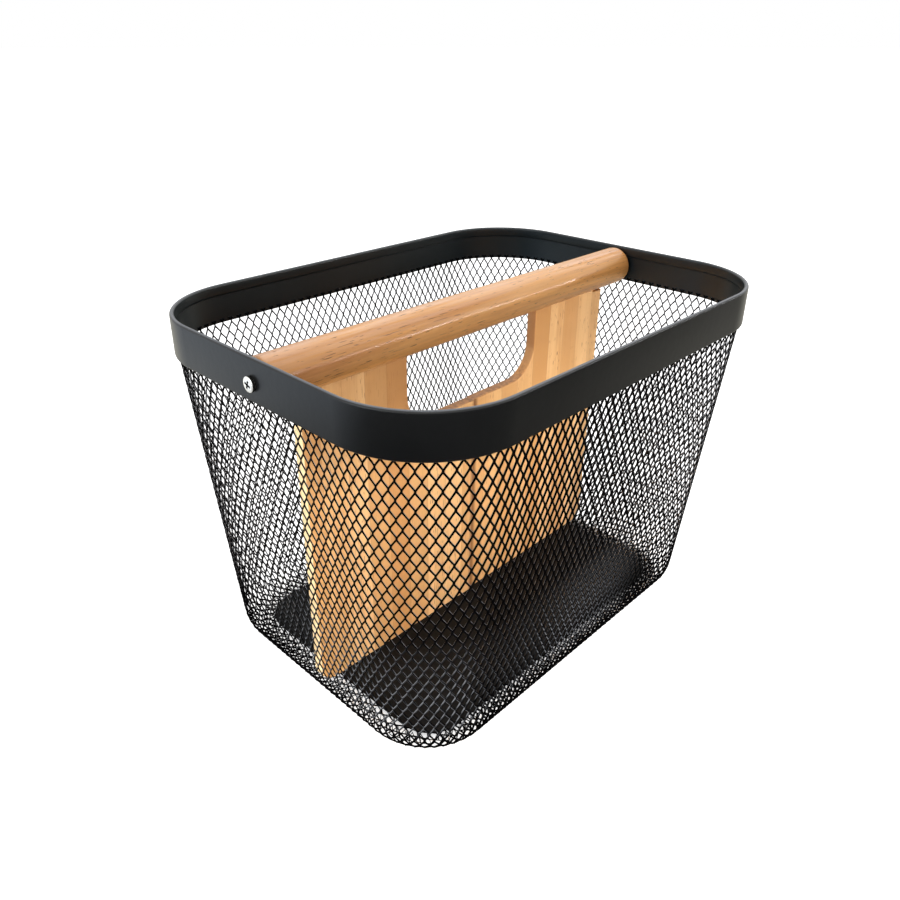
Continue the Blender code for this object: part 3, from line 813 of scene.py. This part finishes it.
# upright staves glued side by side, each with its own tone, and end grain on the edges that cut across them
def boardMaterial():
    finish = boardWood
    material, tree, shader, place = newMaterial("boardWood", {
        "Coat Weight": finish["coat"], "Coat Roughness": finish["coatRoughness"]})
    parts = partsOf(tree, place)
    across = addMath(tree, "ABSOLUTE", parts["X"])
    staves = addMath(tree, "DIVIDE", addMath(tree, "SUBTRACT", across, board["openingReach"]), finish["staveWidth"])
    index = addMath(tree, "FLOOR", staves)
    side = addProduct(tree, addMath(tree, "SIGN", parts["X"]), finish["staveSeed"])
    seed = addMath(tree, "ADD", index, side)
    tone = addNode(tree, "ShaderNodeTexWhiteNoise", {"W": seed}, noise_dimensions="1D").outputs["Value"]
    shift = addNode(tree, "ShaderNodeCombineXYZ", {
        "X": addProduct(tree, tone, finish["staveShift"]), "Y": index, "Z": tone})
    moved = addVector(tree, "ADD", place, shift.outputs[0])
    grain = grainNode(tree, moved, finish)

    endGrain = (*finish["endGrain"], 1)
    orange = (*finish["orange"], 1)
    besideOpening = addProduct(tree, addMath(tree, "COMPARE", index, 0.0, 0.4), finish["orangeShare"])
    colour = addMix(tree, besideOpening, grain["Colour"], orange)
    colour = addMix(tree, addRange(tree, tone, *finish["staveTones"]), colour, (*finish["dark"], 1))
    joint = addMath(tree, "ABSOLUTE", addMath(tree, "SUBTRACT", addMath(tree, "FRACT", staves), 0.5))
    colour = addMix(tree, addRange(tree, joint, *finish["jointOver"]), colour, endGrain)
    # partly a dark joint, partly painted shade of the step between the boards
    colour = addMix(tree, addRange(tree, across, *finish["seamJointAndShadeOver"]), colour, endGrain)
    # painted shade: the upper part of the boards darker, more on the left
    topShade = addProduct(
        tree, addRange(tree, parts["Z"], *finish["topShadeOver"]), addRange(tree, parts["X"], *finish["topShadeLeft"]))
    colour = addMix(tree, topShade, colour, (*finish["topShade"], 1), "MULTIPLY")

    normal = addNode(tree, "ShaderNodeNewGeometry").outputs["Normal"]
    facing = partsOf(tree, normal)
    sideways = addRange(tree, addMath(tree, "ABSOLUTE", facing["X"]), *finish["sideways"])
    atEnd = addProduct(tree, sideways, addRange(tree, across, *finish["paleOver"]))
    colour = addMix(tree, atEnd, colour, (*finish["paleEnd"], 1))
    atOpening = addProduct(tree, sideways, addRange(tree, across, *finish["openingOver"]))
    colour = addMix(tree, atOpening, colour, endGrain)
    endMask = addRange(tree, addMath(tree, "ABSOLUTE", facing["Z"]), *finish["acrossOver"])
    rings = addRange(tree, addNoise(tree, moved, *finish["rings"]), *finish["ringsOver"])
    colour = addMix(tree, endMask, colour, addMix(tree, rings, endGrain, orange))
    tree.links.new(colour, shader.inputs["Base Color"])
    roughness = addRange(tree, endMask, 0, 1, finish["roughness"], finish["endRoughness"])
    tree.links.new(roughness, shader.inputs["Roughness"])
    linkBump(tree, shader, grain["Height"], finish)
    return material


# bright nickel with fine turning marks round the screw's axis, and painted shade on the head's rim and in the cross
def screwMaterial():
    finish = screwNickel
    material, tree, shader, place = newMaterial("screwNickel", {"Metallic": finish["metallic"]})
    parts = partsOf(tree, place)
    up = addMath(tree, "SUBTRACT", parts["Z"], handle["height"])
    squared = addMath(tree, "ADD", addProduct(tree, up, up), addProduct(tree, parts["Y"], parts["Y"]))
    radius = addMath(tree, "SQRT", squared)
    cloud = addNoise(tree, place, *finish["cloud"])
    colour = addMix(tree, addRange(tree, cloud, *finish["dullOver"]), finish["bright"], finish["dull"])
    outer = addMath(tree, "ABSOLUTE", parts["X"])
    normal = addNode(tree, "ShaderNodeNewGeometry").outputs["Normal"]
    facing = addMath(tree, "ABSOLUTE", partsOf(tree, normal)["X"])
    # painted shade on the side of the head and in the recess
    atRim = addProduct(
        tree, addRange(tree, facing, *finish["rimFacing"]), addRange(tree, outer, *finish["rimFrom"]))
    inRecess = addProduct(
        tree, addRange(tree, outer, *finish["recessUnder"]), addRange(tree, radius, *finish["recessWithin"]))
    colour = addMix(tree, addMath(tree, "MAXIMUM", atRim, inRecess), colour, finish["shade"])
    tree.links.new(colour, shader.inputs["Base Color"])
    tree.links.new(addRange(tree, cloud, *finish["roughnessOver"]), shader.inputs["Roughness"])
    marks = addNode(tree, "ShaderNodeTexNoise", {
        "W": radius, "Scale": finish["markScale"], "Detail": finish["markDetail"]}, noise_dimensions="1D")
    linkBump(tree, shader, marks.outputs["Fac"], finish)
    return material


# The pieces in their places

handleFinish = handleMaterial()
boardFinish = boardMaterial()
screwFinish = screwMaterial()

rimBand = buildBand()
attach(rimBand, "root")
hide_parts("rim_band")

buildWallMesh()
buildFloorMesh()
for name in ("meshFront", "meshBack", "meshFloor"):
    part = bpy.data.objects[name]
    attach(part, "root")
    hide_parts("mesh_body")

basePlate = buildPlate()
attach(basePlate, "root")
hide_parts("base_plate")

handleBar = buildHandle(handleFinish)
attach(handleBar, "root")
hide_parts("handle_bar")

for side, end in ((-1, "left"), (1, "right")):
    dividerBoard = buildBoard("dividerBoard" + end.capitalize(), side, boardFinish)
    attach(dividerBoard, "root")
    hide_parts("divider_board_" + end)
    panScrew = buildScrew("screw" + end.capitalize(), side, screwFinish)
    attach(panScrew, "root")
    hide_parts("screw_" + end)
print("all pieces are in place")


# Floor, backdrop and lights

studio = {
    "floorRadius": 30.0, "floorSteps": 64, "floorColour": (0.82, 0.82, 0.82, 1), "nearLift": 0.80, "farLift": 0.95,
    "ambient": 0.40, "nearReach": 0.3, "farReach": 1.6, "sheen": 0.66, "sheenAlongX": 0.29, "sheenAlongY": 1.41,
    "sheenLeft": 2.33, "sheenNear": 0.16, "sheenFar": 0.50, "sheenKept": 0.10, "leftOver": (-0.15, -0.40),
    "warmSheen": (1.0, 0.97, 0.84, 1), "coolSheen": (0.80, 0.89, 1.0, 1),
    # under the basket the floor's lift fades towards +X: painted shadow
    "underLength": 0.118, "underWidth": 0.080, "underRadius": 0.026, "underShadeOver": (-0.08, 0.08, 0.85, 0.0),
    "underEdge": (0.0056, 0.0068), "lampSide": (-0.45, -0.70), "glowOver": (0.02, 1.0, 0.02, 1.0),
    # name, place, aim, width, height, watts, colour and whether glossy surfaces mirror it
    "lamps": (
        ("overhead", (0.45, 0.20, 1.05), (0.05, 0, 0.15), 1.4, 1.4, 6.7, (1.0, 0.99, 0.97), True),
        ("leftSoftbox", (-1.30, 0.15, 0.55), (0, 0, 0.12), 0.8, 0.8, 2.6, (0.80, 0.92, 1.0), True),
        ("rightStrip", (1.05, -1.05, 0.75), (0, 0, 0.15), 0.18, 1.1, 0.6, (1.0, 1.0, 1.0), True),
        ("lowStrip", (1.00, -1.08, 0.36), (0, 0, 0.20), 1.2, 0.02, 2.2, (1.0, 1.0, 1.0), True),
        ("glint", (-0.45, -0.55, 1.45), (0, 0, 0.2), 0.25, 0.25, 2.4, (0.92, 0.96, 1.0), True),
        ("frontFill", (0.10, -1.65, 0.20), (0, 0, 0.12), 1.3, 0.06, 37.0, (1.0, 0.99, 0.97), False),
        ("leftFill", (-1.55, -0.10, 0.12), (0, 0, 0.08), 0.5, 0.2, 34.0, (1.0, 0.99, 0.96), False),
    ),
}


# pale floor that the camera sees near white; glossy rays see a painted sheen, a glow stronger away from the basket and
# kept dim close to it as painted shade
def buildFloor():
    bm = bmesh.new()
    bmesh.ops.create_circle(bm, cap_ends=True, segments=studio["floorSteps"], radius=studio["floorRadius"])
    material = bpy.data.materials.new("studioFloor")
    material.use_nodes = True
    tree = material.node_tree
    tree.nodes.clear()
    path = addNode(tree, "ShaderNodeLightPath").outputs
    place = addNode(tree, "ShaderNodeTexCoord").outputs["Object"]
    parts = partsOf(tree, place)
    away = addVector(tree, "LENGTH", place)
    seen = addMath(tree, "MAXIMUM", path["Is Camera Ray"], path["Is Transmission Ray"])

    nearLamps = addMath(tree, "MAXIMUM", *(addRange(tree, parts[axis], *studio["lampSide"]) for axis in ("X", "Y")))
    unlit = addProduct(tree, nearLamps, seen)
    plain = addNode(tree, "ShaderNodeBsdfDiffuse", {"Color": addMix(tree, unlit, studio["floorColour"], (0, 0, 0, 1))})
    sides = {}
    for axis, reach in (("X", studio["underLength"]), ("Y", studio["underWidth"])):
        past = addMath(tree, "SUBTRACT", addMath(tree, "ABSOLUTE", parts[axis]), reach - studio["underRadius"])
        sides[axis] = addMath(tree, "MAXIMUM", past, 0.0)
    past = addVector(tree, "LENGTH", addNode(tree, "ShaderNodeCombineXYZ", sides).outputs[0])
    past = addMath(tree, "SUBTRACT", past, studio["underRadius"])
    # painted shadow: under the basket the floor's lift fades, to nothing towards +X
    underShade = addRange(tree, parts["X"], *studio["underShadeOver"])
    level = addRange(tree, away, studio["nearReach"], studio["farReach"], studio["nearLift"], studio["farLift"])
    level = addMath(tree, "MAXIMUM", level, nearLamps)
    level = addProduct(tree, level, seen, addRange(tree, past, *studio["underEdge"], underShade, 1.0))
    lift = addNode(tree, "ShaderNodeEmission", {"Strength": level})
    total = addNode(tree, "ShaderNodeAddShader", {0: plain.outputs[0], 1: lift.outputs[0]})

    slope = addMath(tree, "MULTIPLY_ADD", parts["X"], studio["sheenAlongX"], studio["sheen"])
    slope = addMath(tree, "MULTIPLY_ADD", parts["Y"], studio["sheenAlongY"], slope)
    left = addRange(tree, parts["X"], *studio["leftOver"])
    leftSlope = addProduct(tree, parts["Y"], studio["sheenLeft"])
    slope = addNode(tree, "ShaderNodeMix", {0: left, 2: slope, 3: leftSlope}).outputs[0]
    # painted shade in reflections: the sheen kept dim close to the basket
    close = addRange(tree, away, studio["sheenNear"], studio["sheenFar"], studio["sheenKept"], 1.0)
    glow = addProduct(tree, addRange(tree, slope, *studio["glowOver"]), close)
    tint = addMix(tree, left, studio["warmSheen"], studio["coolSheen"])
    sheen = addNode(tree, "ShaderNodeEmission", {"Color": tint, "Strength": glow})
    shown = addNode(tree, "ShaderNodeMixShader", {0: path["Is Glossy Ray"], 1: total.outputs[0], 2: sheen.outputs[0]})
    addNode(tree, "ShaderNodeOutputMaterial", {"Surface": shown.outputs[0]})
    floor = addPiece("studioFloor", bm, material)


def buildWorld():
    world = bpy.data.worlds.new("studioWorld")
    scene.world = world
    world.use_nodes = True
    tree = world.node_tree
    tree.nodes.clear()
    path = addNode(tree, "ShaderNodeLightPath").outputs
    seen = addMath(tree, "MAXIMUM", path["Is Camera Ray"], addMath(
        tree, "MAXIMUM", path["Is Glossy Ray"], path["Is Transmission Ray"]))
    lit = addNode(tree, "ShaderNodeBackground", {"Color": (1, 1, 1, 1), "Strength": studio["ambient"]})
    white = addNode(tree, "ShaderNodeBackground", {"Color": (1, 1, 1, 1), "Strength": 1.0})
    both = addNode(tree, "ShaderNodeMixShader", {0: seen, 1: lit.outputs[0], 2: white.outputs[0]})
    addNode(tree, "ShaderNodeOutputWorld", {"Surface": both.outputs[0]})


def buildLamps():
    for name, place, aim, width, height, power, colour, mirrored in studio["lamps"]:
        lamp = bpy.data.lights.new(name, "AREA")
        lamp.shape = "RECTANGLE"
        lamp.size, lamp.size_y = width, height
        lamp.energy = power
        lamp.color = colour
        holder = bpy.data.objects.new(name, lamp)
        holder.location = place
        holder.rotation_euler = (Vector(aim) - Vector(place)).to_track_quat("-Z", "Y").to_euler()
        holder.visible_camera = False
        holder.visible_glossy = mirrored
        scene.collection.objects.link(holder)


view = {"place": (-0.32484, -0.29161, 0.34107), "azimuth": -45.005, "elevation": 26.03, "lens": 31.447,
        "shiftX": 0.01964, "shiftY": -0.03212, "sensor": 36, "clipStart": 0.01, "clipEnd": 100}


def buildCamera():
    turn, rise = math.radians(view["azimuth"]), math.radians(view["elevation"])
    back = Vector((math.sin(turn) * math.cos(rise), -math.cos(turn) * math.cos(rise), math.sin(rise)))
    data = bpy.data.cameras.new("photoView")
    data.sensor_width = view["sensor"]
    data.lens = view["lens"]
    data.shift_x = view["shiftX"]
    data.shift_y = view["shiftY"]
    data.clip_start = view["clipStart"]
    data.clip_end = view["clipEnd"]
    camera = bpy.data.objects.new("photoView", data)
    camera.location = view["place"]
    camera.rotation_euler = (-back).to_track_quat("-Z", "Y").to_euler()
    scene.collection.objects.link(camera)
    scene.camera = camera


buildFloor()
buildWorld()
buildLamps()
buildCamera()
scene.view_settings.view_transform = "Standard"
print("floor, lamps and camera are set")
